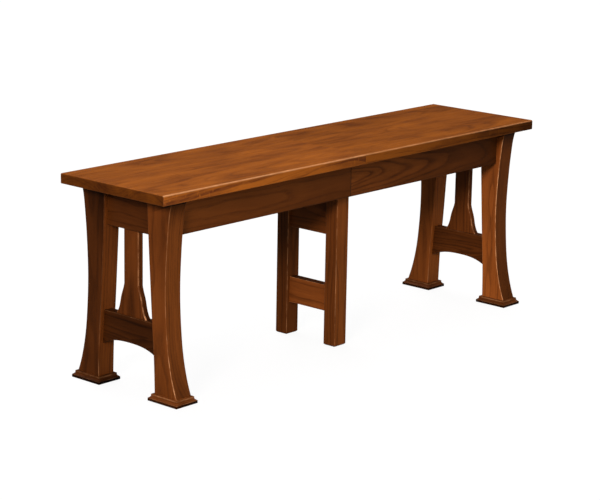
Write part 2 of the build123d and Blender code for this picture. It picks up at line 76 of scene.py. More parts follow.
X, Y, Z = range(3)
SIDES = {"left": -1, "right": 1}
FACES = {"front": -1, "back": 1}
BOARDS = ("front", "middle", "back")
SLOTS = {row["node"]: row["material_slot"] for row in frame["record"]["subparts"]}

# how finely round forms are cut, how far off them a flat face's own points are, and the least radius
ARC_STEPS = 4
CURVE_STEPS = 36
SUPPORT = 0.0008
LEAST_ROUND = 0.00005
# how much of the rub, with the painted highlight that goes with it, shows round an eased edge, from one
# flat to the other
RUB_AND_HIGHLIGHT_ROUND = (0.15, 0.7, 1.0, 0.7, 0.15)
SHARP_ANGLE = math.radians(35)
# how far apart the pieces' own stretches of the log begin
LOG_STRETCH = 1.37

# outlines as shares of the sizes that they follow, as (along, out)
FOOT_FLARE_SHARES = [(1.0, 1.0), (0.93, 0.82), (0.79, 0.54), (0.6, 0.28), (0.37, 0.11), (0.17, 0.025)]
HEAD_FLARE_SHARES = [(0.16, 0.03), (0.37, 0.14), (0.55, 0.27), (0.77, 0.5), (0.9, 0.7), (1.0, 1.0)]
LEG_INNER_SHARES = [(0.0, 1.0), (0.2, 0.87), (0.4, 0.61), (0.58, 0.4), (0.75, 0.21), (1.0, 0.0)]
ARCH_SHARES = [(-1.0, 0.0), (-0.74, 0.55), (-0.42, 0.9), (0.0, 1.0), (0.42, 0.9), (0.74, 0.55), (1.0, 0.0)]
SPLAT_FLARE_SHARES = [(0.0, 1.0), (0.12, 0.78), (0.36, 0.54), (0.62, 0.36), (0.84, 0.13), (1.0, 0.0)]

# the leg whose curves the others mirror
leg_low, leg_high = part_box("right_back_leg")


def length(text, value, note):
    """A length in metres that a user may change."""
    return FloatProperty(name=text, description=note, default=value, min=0.0, unit="LENGTH", precision=4)


def number(text, value, note, low=0.0, high=1.0):
    """A plain number that a user may change."""
    return FloatProperty(name=text, description=note, default=value, min=low, max=high)


def angle(text, degrees, note):
    """An angle that a user may change."""
    return FloatProperty(name=text, description=note, default=math.radians(degrees), unit="ROTATION")


def colour(text, value, note):
    """A linear colour that a user may change."""
    return FloatVectorProperty(name=text, description=note, default=(*value, 1.0), size=4, min=0.0,
                               max=1.0, subtype="COLOR")


class BenchShape(PropertyGroup):
    """Sizes of the eased edges and curves that the frame doesn't tell."""
    seat_top_round: length("Seat top round", 0.003, "Radius of the seat's upper edges")
    seat_bottom_round: length("Seat bottom round", 0.0015, "Radius of the seat's lower edges")
    seat_end_round: length("Seat end round", 0.002, "Radius along the seat's two ends")
    seam_ease: length("Seam ease", 0.0004, "Easing of the edges that meet at the seam")
    apron_ease: length("Apron ease", 0.0012, "Easing of the aprons' lower edges")
    apron_seam_ease: length("Apron seam ease", 0.0009, "Easing of the apron ends at the seam")
    leg_round: length("Leg round", 0.0015, "Radius of the legs' long edges")
    rail_round: length("Rail round", 0.0012, "Radius of the rails' long edges")
    splat_round: length("Splat round", 0.0024, "Radius of the splats' long edges")
    post_round: length("Post round", 0.0012, "Radius of the centre posts' upright edges")
    post_chamfer: length("Post chamfer", 0.0025, "Chamfer at the centre posts' lower ends")
    foot_corner_round: length("Foot corner round", 0.0008, "Radius of the foot blocks' corners")
    leg_waist_share: number("Leg waist share", 0.53, "Height of the legs' narrowest place")
    leg_waist_reach: length("Leg waist reach", 0.1145, "Mid width to the outside of the waist")
    leg_head_reach: length("Leg head reach", 0.133, "Mid width to the outside of the head")
    leg_foot_inset: length("Leg foot inset", 0.0835, "Mid width to the inside of the leg's lower end")
    arch_rise: length("Arch rise", 0.0167, "Rise of the arch under the end stretchers")
    splat_width: length("Splat width", 0.043, "Width of the splats above their flare")
    splat_flare_height: length("Splat flare height", 0.067, "Height of the splats' flare")
    dowel_hole_radius: length("Dowel hole radius", 0.0043, "Radius of the holes for the seam dowels")
    dowel_hole_depth: length("Dowel hole depth", 0.016, "Depth of the holes for the seam dowels")


class BenchFinish(PropertyGroup):
    """Colours and figure of the wood, and colours of the metal."""
    seat_dark: colour("Seat dark", (0.16, 0.043, 0.011), "Darkest streaks of the seat")
    seat_light: colour("Seat light", (0.42, 0.12, 0.0155), "Lightest streaks of the seat")
    frame_dark: colour("Frame dark", (0.085, 0.0225, 0.004), "Darkest streaks of the legs and rails")
    frame_light: colour("Frame light", (0.29, 0.08, 0.014), "Lightest streaks of the legs and rails")
    hidden_dark: colour("Hidden dark", (0.22, 0.11, 0.045), "Darkest streaks of the unstained oak")
    hidden_light: colour("Hidden light", (0.45, 0.27, 0.13), "Lightest streaks of the unstained oak")
    maple_dark: colour("Maple dark", (0.42, 0.27, 0.14), "Darkest streaks of the runners")
    maple_light: colour("Maple light", (0.62, 0.44, 0.26), "Lightest streaks of the runners")
    beech_dark: colour("Beech dark", (0.38, 0.22, 0.12), "Darkest streaks of the dowels")
    beech_light: colour("Beech light", (0.55, 0.36, 0.21), "Lightest streaks of the dowels")
    # rubbed edges: lighter where the stain wears thin, and partly a painted highlight along them
    rubbed: colour("Rubbed edge", (0.7, 0.33, 0.14), "Edges where the stain is rubbed thin")
    steel: colour("Steel", (0.42, 0.42, 0.43), "Gears and racks")
    screw_steel: colour("Screw steel", (0.3, 0.27, 0.22), "Screws")
    latch_steel: colour("Latch steel", (0.09, 0.09, 0.095), "Blackened latch")
    gloss: number("Gloss", 0.08, "Strength of the lacquer's reflections")
    ring_pitch: length("Ring pitch", 0.0065, "Mean width of a growth ring")
    wander: length("Grain wander", 0.014, "How far the grain strays from straight")


class BenchStage(PropertyGroup):
    """Camera, floor and lamps."""
    azimuth: angle("Azimuth", -48.13, "Turn of the camera about the bench")
    elevation: angle("Elevation", 13.85, "Height of the camera above the horizon")
    roll: angle("Roll", 1.03, "Tilt of the camera about its own axis")
    distance: length("Distance", 4.6696, "Camera to the point that it looks at")
    target: FloatVectorProperty(name="Target", description="Point that the camera looks at",
                                default=(-0.04006, 0.0, 0.21065), size=3, subtype="TRANSLATION")
    lens: FloatProperty(name="Lens", description="Focal length in millimetres", default=126.285)
    floor: colour("Floor", (0.12, 0.12, 0.12), "Grey of the floor, to which its glow is added")
    floor_glow: number("Floor glow", 0.91, "Light that the floor adds in the camera's view")
    sky: number("Sky light", 0.16, "Even light from all round", high=5.0)
    wall_top: number("Wall top", 0.5, "Height, as a sine, under which gloss shows the dim walls")
    wall_shine: number("Wall shine", 0.02, "Brightness of the walls in gloss")
    key: number("Key lamp", 1.95, "Strength of the lamp at the left end", high=20.0)
    key_tint: colour("Key tint", (1.0, 0.86, 0.8), "Warmth of the lamp at the left end")
    front: number("Front lamp", 1.03, "Strength of the lamp before the bench", high=20.0)
    top: number("Top lamp", 1.29, "Strength of the lamp over the bench", high=20.0)
    back: number("Back lamp", 1.35, "Strength of the lamp behind the bench", high=20.0)
    key_spread: angle("Key spread", 16.0, "Width of the key lamp as seen from the bench")
    soft_spread: angle("Soft spread", 55.0, "Width of the soft lamps as seen from the bench")


# outlines and surfaces

def spline_through(points, steps):
    """Natural cubic through points, as (steps + 1, 2) places evenly spaced in chord length.
    Between two knots a distance h apart it is the cubic whose second derivative runs straight
    from one knot's value to the next, and these values solve a tridiagonal system."""
    p = np.asarray(points, float)
    h = np.linalg.norm(np.diff(p, axis=0), axis=1)
    s = np.concatenate([[0.0], np.cumsum(h)])
    slope = np.diff(p, axis=0) / h[:, None]
    system = np.eye(len(p))
    inner = np.arange(1, len(p) - 1)
    system[inner, inner - 1] = h[:-1]
    system[inner, inner] = 2 * (h[:-1] + h[1:])
    system[inner, inner + 1] = h[1:]
    bends = np.zeros_like(p)
    bends[1:-1] = 6 * np.diff(slope, axis=0)
    bends = np.linalg.solve(system, bends)
    t = np.linspace(0, s[-1], steps + 1)
    k = np.clip(np.searchsorted(s, t, side="right") - 1, 0, len(h) - 1)
    a, b, w = (s[k + 1] - t)[:, None], (t - s[k])[:, None], h[k][:, None]
    return (bends[k] * a ** 3 + bends[k + 1] * b ** 3) / (6 * w) \
        + (p[k] / w - bends[k] * w / 6) * a + (p[k + 1] / w - bends[k + 1] * w / 6) * b


def rectangle(low, high, rounds, free=(1, 1, 1, 1), rubs_and_highlights=(1, 1, 1, 1)):
    """Outline with rounded corners as a function of its inset, anticlockwise from the low corner.
    A corner is a quarter circle, centre + r (cos t, sin t), between two points set back along its
    sides, and only sides marked free move in. Sides go low a, low b, high a, high b, and corners
    from the low one on."""
    turn = np.radians([180, 270, 360, 450])[:, None] + np.linspace(0, np.pi / 2, ARC_STEPS + 1)
    ring = np.stack([np.cos(turn), np.sin(turn)], -1)
    inward = np.array([[1, 1], [-1, 1], [-1, -1], [1, -1]])

    def section(inset):
        left, bottom, right, top = np.array(free) * inset
        a0, a1, b0, b1 = low[0] + left, high[0] - right, low[1] + bottom, high[1] - top
        corner = np.array([[a0, b0], [a1, b0], [a1, b1], [a0, b1]])
        r = np.maximum(np.array(rounds) - inset, LEAST_ROUND)[:, None]
        arc = (corner + inward * r)[:, None] + r[:, None] * ring
        before = arc[:, :1] - SUPPORT * np.stack([-np.sin(turn[:, :1]), np.cos(turn[:, :1])], -1)
        after = arc[:, -1:] + SUPPORT * np.stack([-np.sin(turn[:, -1:]), np.cos(turn[:, -1:])], -1)
        return np.concatenate([before, arc, after], 1).reshape(-1, 2)

    worn = np.zeros((4, ARC_STEPS + 3))
    worn[:, 1:-1] = np.where(np.array(rounds) > SUPPORT, rubs_and_highlights, 0)[:, None] * RUB_AND_HIGHLIGHT_ROUND
    return section, worn.ravel()


def cut_outline(pieces):
    """Outline from stretches of points, anticlockwise, each with 1 where its edge is free to move in.
    A point moves by the vector m with m.n1 = w1 and m.n2 = w2 for its two sides' outward normals n
    and marks w, and where the sides run on smoothly by their mean normal."""
    points = np.concatenate([np.asarray(p, float)[:-1] for p, mark in pieces])
    free = np.concatenate([np.full(len(p) - 1, float(mark)) for p, mark in pieces])
    run = np.roll(points, -1, axis=0) - points
    out = np.stack([run[:, 1], -run[:, 0]], -1) / np.linalg.norm(run, axis=1)[:, None]
    n1, n2 = np.roll(out, 1, axis=0), out
    w1, w2 = np.roll(free, 1)[:, None], free[:, None]
    c = (n1 * n2).sum(1)[:, None]
    bend = ((w1 - w2 * c) * n1 + (w2 - w1 * c) * n2) / np.maximum(1 - c * c, 1e-9)
    smooth = (w1 + w2) / 2 * (n1 + n2) / (1 + c)
    move = np.where(c > math.cos(SHARP_ANGLE), smooth, bend)
    return (lambda inset: points - inset * move), np.zeros(len(points))


def stops(low, high, round_low, round_high, rub_and_highlight_low=1.0, rub_and_highlight_high=1.0):
    """Places along an axis with the outline's inset at each, for two rounded ends:
    place = end + r (1 - cos t) and inset = r (1 - sin t), between support rings on the flats."""
    t = np.linspace(0, np.pi / 2, ARC_STEPS + 1)

    def ending(r, rub):
        place = np.concatenate([[0.0], r * (1 - np.cos(t)), [r + SUPPORT]])
        inset = np.concatenate([[r + SUPPORT], r * (1 - np.sin(t)), [0.0]])
        worn = np.concatenate([[0.0], np.array(RUB_AND_HIGHLIGHT_ROUND) * rub * (r > SUPPORT), [0.0]])
        return place, inset, worn

    a, b = ending(round_low, rub_and_highlight_low), ending(round_high, rub_and_highlight_high)
    return (np.concatenate([low + a[0], high - b[0][::-1]]),
            np.concatenate([a[1], b[1][::-1]]), np.concatenate([a[2], b[2][::-1]]))


def carry(outline, places, axis):
    """Rings of an outline carried along an axis, and how far each of their points is rubbed and painted
    with a highlight:
    point (i, j) is the outline's point j at stop i's inset, put at stop i's place."""
    section, worn_and_highlit_round = outline
    place, inset, worn_and_highlit_along = places
    flat = np.stack([section(d) for d in inset])
    rings = np.empty(flat.shape[:2] + (3,))
    rings[..., axis] = place[:, None]
    rings[..., (axis + 1) % 3] = flat[..., 0]
    rings[..., (axis + 2) % 3] = flat[..., 1]
    worn = np.maximum(worn_and_highlit_along[:, None], worn_and_highlit_round[None])
    worn[[0, -1]] = 0
    return rings, worn


def bored(skin, low, high, shape):
    """Continues a skin's last ring, on a face across X, into a round blind hole for a seam dowel in
    the middle of the box: each hole ring is centre + r (cos t, sin t) at that ring's own angles t."""
    rings, worn = skin
    last = rings[-1]
    centre = (low + high) / 2
    t = np.arctan2(last[:, Z] - centre.z, last[:, Y] - centre.y)
    radius, rim = shape.dowel_hole_radius, LEAST_ROUND * 8
    walls = [(radius + rim, 0.0), (radius, rim), (radius, shape.dowel_hole_depth)]
    hole = np.empty((len(walls),) + last.shape)
    for ring, (r, sink) in zip(hole, walls):
        ring[:, X] = last[:, X] - sink
        ring[:, Y] = centre.y + r * np.cos(t)
        ring[:, Z] = centre.z + r * np.sin(t)
    return np.concatenate([rings, hole]), np.concatenate([worn, np.zeros(hole.shape[:2])])


# wooden pieces

class Cut:
    """How a piece was sawn from its log: the way of its grain, the way out from the log's heart,
    how far the heart lies, how much the grain leans and bows, how light the piece took the stain,
    how far its edges are rubbed and painted with a highlight, and how bold its figure is."""

    def __init__(self, along, outward, heart=0.06, lean=0.0, bow=0.0, light=1.0, rub=0.5, bold=1.0):
        self.along, self.outward = Vector(along), Vector(outward)
        self.heart, self.lean, self.bow = heart, lean, bow
        self.light, self.rub, self.bold = light, rub, bold

    def log_places(self, points, order):
        """Places in the log: (along, out from the heart, round), with a stretch of its own for each
        piece. The grain leans in proportion to along and bows with its square."""
        middle = (points.min(0) + points.max(0)) / 2
        local = points - middle
        round_way = self.along.cross(self.outward)
        a = local @ np.array(self.along)
        r = self.heart + local @ np.array(self.outward) + self.lean * a
        t = local @ np.array(round_way) + self.bow * a * a
        return np.stack([a + LOG_STRETCH * order, r, t], -1)


def set_values(mesh, name, kind, values):
    """Stores one value or vector for each point of a mesh."""
    field = mesh.attributes.new(name, kind, "POINT")
    values = np.ascontiguousarray(values, np.float32).ravel()
    field.data.foreach_set("vector" if kind == "FLOAT_VECTOR" else "value", values)


def wooden(name, skin, cut, shade=None, wear_and_highlight=None, figure=None):
    """Closed mesh over a stack of rings, which stands for the CAD node of the same name: quads between
    rings and a flat face over each end ring. Its shade, rubbing and figure functions give for its points a
    share of how light it is, which holds painted light and shade besides the stain, how far it is rubbed
    and painted with a highlight, and how bold its figure is."""
    rings, worn = skin
    points, worn = rings.reshape(-1, 3), worn.ravel()
    index = np.arange(len(points)).reshape(rings.shape[:2])
    beside = np.roll(index, -1, axis=1)
    quads = np.stack([index[:-1], beside[:-1], beside[1:], index[1:]], -1).reshape(-1, 4)
    faces = quads.tolist() + [index[0, ::-1].tolist(), index[-1].tolist()]
    mesh = bpy.data.meshes.new(f"oak_{name}")
    mesh.from_pydata(points, [], faces)
    mesh.polygons.foreach_set("use_smooth", np.ones(len(faces), bool))
    mesh.set_sharp_from_angle(angle=SHARP_ANGLE)
    set_values(mesh, "grain", "FLOAT_VECTOR", cut.log_places(points, sorted(frame["nodes"]).index(name)))
    for field, value, own in (("worn", worn * cut.rub, wear_and_highlight), ("light", cut.light, shade),
                              ("bold", cut.bold, figure)):
        set_values(mesh, field, "FLOAT", value * (np.ones(len(points)) if own is None else own(points)))
    slot = SLOTS[name]
    mesh.materials.append(bpy.data.materials[slot])
    piece = bpy.data.objects.new(f"oak_{name}", mesh)
    bpy.context.scene.collection.objects.link(piece)
    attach(piece, frame["nodes"][name]["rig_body"])
    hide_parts(name)


def faced(low, high, shares, depth=0.0):
    """How light a piece is near some faces of its box, for stain and for painted light and shade, as
    {(axis, way): (left, right)}: a share that runs straight from the box's left to its right on the face, 1
    deeper than depth inside it, and the straight line between them."""
    def shade(points):
        total = np.ones(len(points))
        across = (points[:, X] - low.x) / (high.x - low.x)
        for (axis, way), (left, right) in shares.items():
            inside = points[:, axis] - low[axis] if way < 0 else high[axis] - points[:, axis]
            share = left + (right - left) * across
            total *= 1 + (share - 1) * np.clip(1 - inside / (depth + SUPPORT / 2), 0, 1)
        return total
    return shade


def fading(low, high, axis, at_low, at_high, bend=1):
    """A share along an axis of a piece's box: high value + (low value - high value) (1 - t)^bend."""
    def share(points):
        t = np.clip((points[:, axis] - low[axis]) / (high[axis] - low[axis]), 0, 1)
        return at_high + (at_low - at_high) * (1 - t) ** bend
    return share


def painted_top_shadow(high, share, depth, fade=SUPPORT):
    """Painted shadow near the top of a piece: the share down to a depth, and 1 where the fade ends below.
    """
    return lambda points: 1 + (share - 1) * np.clip((points[:, Z] - high.z + depth) / fade + 1, 0, 1)


def from_flats(points, low, high, edge_round):
    """0 on a piece's two faces across X, rising straight over their eased edges to 1 on its sides."""
    inside = np.minimum(points[:, X] - low.x, high.x - points[:, X])
    return np.clip(inside / (edge_round + SUPPORT / 2), 0, 1)


def at_levels(curve, levels):
    """The same rising curve with points put in at some levels."""
    level = np.sort(np.concatenate([curve[:, 1], levels]))
    return np.stack([np.interp(level, curve[:, 1], curve[:, 0]), level], -1)


def leg_curves(shape):
    """Outer and inner side of a back leg, upwards, as places in Y and Z."""
    rise = leg_high.z - leg_low.z
    waist = leg_low.z + shape.leg_waist_share * rise
    low = [(shape.leg_waist_reach + out * (leg_high.y - shape.leg_waist_reach),
            waist - fall * (waist - leg_low.z)) for fall, out in FOOT_FLARE_SHARES]
    high = [(shape.leg_waist_reach + out * (shape.leg_head_reach - shape.leg_waist_reach),
             waist + lift * (leg_high.z - waist)) for lift, out in HEAD_FLARE_SHARES]
    outer = spline_through(low + [(shape.leg_waist_reach, waist)] + high, CURVE_STEPS)
    inner = [(leg_low.y + out * (shape.leg_foot_inset - leg_low.y), leg_low.z + lift * rise)
             for lift, out in LEG_INNER_SHARES]
    return outer, spline_through(inner, CURVE_STEPS)


def scribed_side(shape, low, high):
    """Inner side of a leg between two levels, upwards, which a rail's end is cut to."""
    inner = leg_curves(shape)[1]
    level = np.linspace(low, high, CURVE_STEPS // 2)
    return np.stack([np.interp(level, inner[:, 1], inner[:, 0]), level], -1)


def mirrored(points):
    """The same places on the other side of mid width, in the opposite order."""
    return (np.asarray(points) * (-1, 1))[::-1]


def corners(piece):
    """Name, half, front or back, and box of the piece at each corner, in the order in which the legs
    and the foot blocks list their values."""
    for half in SIDES:
        for face in FACES:
            name = f"{half}_{face}_{piece}"
            yield (name, half, face, *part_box(name))


def board(name, right, free, edge_round, cut, shade=None, wear_and_highlight=None, lower=None):
    """A piece carried across X. Its outline is the lower line, the right side upwards, the upper line
    and the right side's mirror image, and free marks which of these four move in."""
    low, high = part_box(name)
    left = mirrored(right)
    lines = [[left[-1], right[0]] if lower is None else lower, right, [right[-1], left[0]], left]
    places = stops(low.x, high.x, edge_round, edge_round)
    wooden(name, carry(cut_outline(list(zip(lines, free))), places, X), cut, shade, wear_and_highlight)


class BENCH_OT_seat(Operator):
    """Seat boards with eased outer edges, glued up three to a half, with dowel holes at the seam"""
    bl_idname = "bench.seat"
    bl_label = "Seat boards"
    # from the front board to the back one, every other of which is turned over
    lights = {"left": (0.96, 0.94, 0.89), "right": (0.8, 0.8, 0.73)}
    leans = {"left": (-0.08, 0.03, -0.04), "right": (0.05, -0.04, 0.03)}
    hearts = (0.035, 0.065, 0.095)
    outward = (1, -1, 1)
    board_rubs = (1.0, 1.0, 0.2)
    front_figure = (2.0, 1.7)
    # the front edge takes the stain lighter than the top, and painted shade darkens it from the left end to
    # the right one
    front_shares = {"left": (1.55, 0.92), "right": (0.93, 0.24)}
    end_shares = (0.48, 0.48)
    # rubbed edges carrying a painted highlight, fading from the left end to the right one, more on the
    # upper edges than the lower ones, and little at the ends
    rubs_and_highlights = {"left": (1.2, 0.95), "right": (0.7, 0.5)}
    edge_rubs_and_highlights = (0.1, 0.1, 1.0, 1.0)
    end_rub_and_highlight = 0.05

    def execute(self, context):
        shape = context.scene.bench_shape
        for half, side in SIDES.items():
            for i, place in enumerate(BOARDS):
                name = f"{half}_seat_{place}_board"
                low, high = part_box(name)
                first, last = i == 0, i == len(BOARDS) - 1
                rounds = [shape.seat_bottom_round if first else 0, shape.seat_bottom_round if last else 0,
                          shape.seat_top_round if last else 0, shape.seat_top_round if first else 0]
                outline = rectangle(low[1:], high[1:], rounds, (first, 1, last, 1), self.edge_rubs_and_highlights)
                ends = [shape.seat_end_round, shape.seam_ease][::-side]
                skin = carry(outline, stops(low.x, high.x, *ends, self.end_rub_and_highlight, self.end_rub_and_highlight), X)
                if side < 0:
                    skin = bored(skin, low, high, shape)
                cut = Cut((1, 0, 0), (0, 0, self.outward[i]), heart=self.hearts[i],
                          lean=self.leans[half][i], light=self.lights[half][i], rub=self.board_rubs[i])
                shares = {(X, side): self.end_shares}
                figures = {}
                if first:
                    shares[Y, -1] = self.front_shares[half]
                    figures[Y, -1] = self.front_figure
                wooden(name, skin, cut, faced(low, high, shares),
                       fading(low, high, X, *self.rubs_and_highlights[half]), faced(low, high, figures))
        return {"FINISHED"}


class BENCH_OT_aprons(Operator):
    """Side aprons from the seam to the legs, with eased lower edges and dowel holes at the seam"""
    bl_idname = "bench.aprons"
    bl_label = "Aprons"
    lights = {"left": 0.73, "right": 0.61}
    # painted light: the aprons grow lighter towards their tops, against the shade under the seat
    top_painted_light_share = 1.6
    # painted shade: the right front apron is darker towards its leg
    long_shade_shares = {"right_front_apron": (1.35, 0.38)}
    # stain gathers in the eased edges at the seam, and less in the end grain inside them
    seam_share = 0.05
    end_grain_share = 0.45
    leans = {"left": 0.0, "right": 0.07}
    # the figure is boldest where the right aprons meet the seam
    seam_figures = {"left": 1.0, "right": 2.7}

    def execute(self, context):
        shape = context.scene.bench_shape
        ease, seam_ease = shape.apron_ease, shape.apron_seam_ease
        for name, half, face, low, high in corners("apron"):
            side = SIDES[half]
            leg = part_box(f"{half}_{face}_leg")
            seam_x, leg_x = (high.x, leg[1].x) if side < 0 else (low.x, leg[0].x)
            outline = rectangle(low[1:], high[1:], (ease, ease, 0, 0), (1, 1, 1, 0))
            ends = [0, seam_ease][::-side]
            skin = carry(outline, stops(*sorted((seam_x, leg_x)), *ends), X)
            if side < 0:
                skin = bored(skin, low, high, shape)
            cut = Cut((1, 0, 0), (0, FACES[face], 0), heart=0.03, lean=self.leans[half],
                      light=self.lights[half], rub=0.1, bold=0.6)
            upward = fading(low, high, Z, 1, self.top_painted_light_share)
            along = fading(low, high, X, *self.long_shade_shares.get(name, (1, 1)))
            figure = fading(low, high, X, self.seam_figures[half], 1, bend=6)

            # painted light at the top and painted shade along the right front apron, with the stain dark in
            # the seam's eased edges and its end grain
            def shade(points):
                near = np.clip(1 - np.abs(points[:, X] - seam_x) / (2 * seam_ease + SUPPORT / 2), 0, 1)
                across = np.minimum(points[:, Y] - low.y, high.y - points[:, Y])
                share = np.where(across > seam_ease + SUPPORT / 2, self.end_grain_share, self.seam_share)
                return upward(points) * along(points) * (1 + (share - 1) * near)

            wooden(name, skin, cut, shade, figure=figure)
        return {"FINISHED"}


class BENCH_OT_legs(Operator):
    """Splayed legs, sawn to a curve outside and a nearly straight line inside"""
    bl_idname = "bench.legs"
    bl_label = "Legs"
    # how light the curved sides are, and the flat ones as a share of that, which holds painted light and
    # shade on the faces besides their tone
    lights = (1.14, 1.2, 0.7, 1.8)
    flat_shares = (0.85, 0.39, 2.5, 0.68)
    # rubbed, with a painted highlight, most at the lower flare, and the right front leg all the way
    rubs_and_highlights = (1.6, 0.4, 0.9, 0.5)
    top_rub_and_highlight_shares = (0.2, 0.2, 1.3, 0.2)
    right_rub_and_highlight = 0.25
    # the curved sides are stained darker at the lower flare
    flare_share = 0.6
    # painted shadow in the corner under the seat, and painted shade on the curved sides over a longer fade
    top_shadow_share = 0.06
    top_shadow_depth = 0.008
    head_shade_share = 0.35
    head_shade_fade = 0.06

    def execute(self, context):
        shape = context.scene.bench_shape
        band = leg_high.z - self.top_shadow_depth
        outer, inner = (at_levels(curve, [band - SUPPORT, band]) for curve in leg_curves(shape))
        top, foot = [outer[-1], inner[-1]], [inner[0], outer[0]]
        back = [(outer, 1), (top, 0), (inner[::-1], 1), (foot, 0)]
        front = [(mirrored(line), free) for line, free in reversed(back)]
        for i, (name, half, face, low, high) in enumerate(corners("leg")):
            places = stops(low.x, high.x, shape.leg_round, shape.leg_round, 1, self.right_rub_and_highlight)
            skin = carry(cut_outline(front if face == "front" else back), places, X)
            cut = Cut((0, 0, 1), (SIDES[half], 0, 0), heart=0.05, light=self.lights[i],
                      rub=self.rubs_and_highlights[i], bold=0.75)
            flat = self.flat_shares[i]
            flared = fading(low, high, Z, self.flare_share, 1, bend=4)
            under = painted_top_shadow(high, self.top_shadow_share, self.top_shadow_depth)
            head = painted_top_shadow(high, self.head_shade_share, 0.0, self.head_shade_fade)

            # painted shadow under the seat, and painted shade on the curved sides towards the top
            def shade(points):
                curve = from_flats(points, low, high, shape.leg_round)
                return under(points) * (flat + (flared(points) * head(points) - flat) * curve)

            wooden(name, skin, cut, shade, fading(low, high, Z, 1, self.top_rub_and_highlight_shares[i], bend=5))
        return {"FINISHED"}


class BENCH_OT_feet(Operator):
    """Moulded foot blocks: base round, lip, cove and bead"""
    bl_idname = "bench.feet"
    bl_label = "Foot blocks"
    # the moulding upwards, as level and inset in shares of the block's height
    lip_shares = [(0.0, 0.078), (0.02, 0.03), (0.078, 0.0), (0.38, 0.0), (0.39, 0.0), (0.41, 0.012),
                  (0.42, 0.045)]
    bead_shares = [(0.73, 0.35), (0.76, 0.33), (0.9, 0.33), (0.96, 0.36), (1.0, 0.45)]
    # the lip's upper edge and the bead's lower and upper ones, rubbed and painted with a highlight, as
    # places in the whole list
    rubbed_and_highlit_levels = [4, 5, -4, -3]
    cove_depth_share = 0.28
    shadow_line_share = 0.385
    # painted shadow: under that line the foot is nearly black, less so on the end, and above it painted
    # shade makes the front darker than the end
    base_shadow_light = 0.1
    base_end_shadow_light = 0.35
    lights = (0.78, 0.35, 0.5, 0.5)
    front_shares = (0.85, 0.4, 0.85, 0.85)
    rubs_and_highlights = (0.42, 0.25, 0.4, 0.3)

    def execute(self, context):
        shape = context.scene.bench_shape
        start, end = self.lip_shares[-1], self.bead_shares[0]
        t = np.linspace(0, 1, ARC_STEPS * 2 + 1)[1:-1]
        cove = np.stack([start[0] + (end[0] - start[0]) * t,
                         start[1] + self.cove_depth_share * np.sin(t * np.pi / 2)], -1)
        moulding = np.concatenate([self.lip_shares, cove, self.bead_shares])
        worn = np.zeros(len(moulding))
        worn[self.rubbed_and_highlit_levels] = 1
        for i, (name, half, face, low, high) in enumerate(corners("foot")):
            tall = high.z - low.z
            outline = rectangle(low[:2], high[:2], [shape.foot_corner_round] * 4)
            skin = carry(outline, (low.z + moulding[:, 0] * tall, moulding[:, 1] * tall, worn), Z)
            line = low.z + self.shadow_line_share * tall
            cut = Cut((0, 1, 0), (0, 0, 1), heart=0.04, light=self.lights[i], rub=self.rubs_and_highlights[i])
            front = faced(low, high, {(Y, -1): (self.front_shares[i],) * 2}, tall / 2)

            # painted shade on the front, and painted shadow under the base line
            def shade(points):
                edge = low.x + self.lip_shares[0][1] * tall + SUPPORT
                base = np.where(points[:, X] < edge, self.base_end_shadow_light, self.base_shadow_light)
                return front(points) * np.where(points[:, Z] < line, base, 1)

            wooden(name, skin, cut, shade)
        return {"FINISHED"}


class BENCH_OT_rails(Operator):
    """End rails and arched stretchers, scribed to the inner sides of the legs"""
    bl_idname = "bench.rails"
    bl_label = "End rails and stretchers"
    stretcher_lights = {"left": 0.26, "right": 0.45}
    # painted shadow along the end rails' tops, under the seat's overhang
    top_shadow_share = 0.05
    top_shadow_depth = 0.0135

    def execute(self, context):
        shape = context.scene.bench_shape
        for half, side in SIDES.items():
            name = f"{half}_end_rail"
            low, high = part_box(name)
            band = high.z - self.top_shadow_depth
            end = at_levels(scribed_side(shape, low.z, high.z), [band - SUPPORT, band])
            cut = Cut((0, 1, 0), (side, 0, 0), heart=0.04, light=0.42, rub=0.15)
            board(name, end, (1, 0, 0, 0), shape.rail_round, cut,
                  painted_top_shadow(high, self.top_shadow_share, self.top_shadow_depth))

            name = f"{half}_stretcher"
            low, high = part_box(name)
            end = scribed_side(shape, low.z, high.z)
            arch = [(along * end[0][0], low.z + rise * shape.arch_rise) for along, rise in ARCH_SHARES]
            cut = Cut((0, 1, 0), (side, 0, 0), heart=0.012, light=self.stretcher_lights[half],
                      bow=side * shape.arch_rise / shape.leg_foot_inset ** 2, rub=0.2, bold=1.4)
            board(name, end, (1, 0, 1, 0), shape.rail_round, cut, lower=spline_through(arch, CURVE_STEPS))
        return {"FINISHED"}


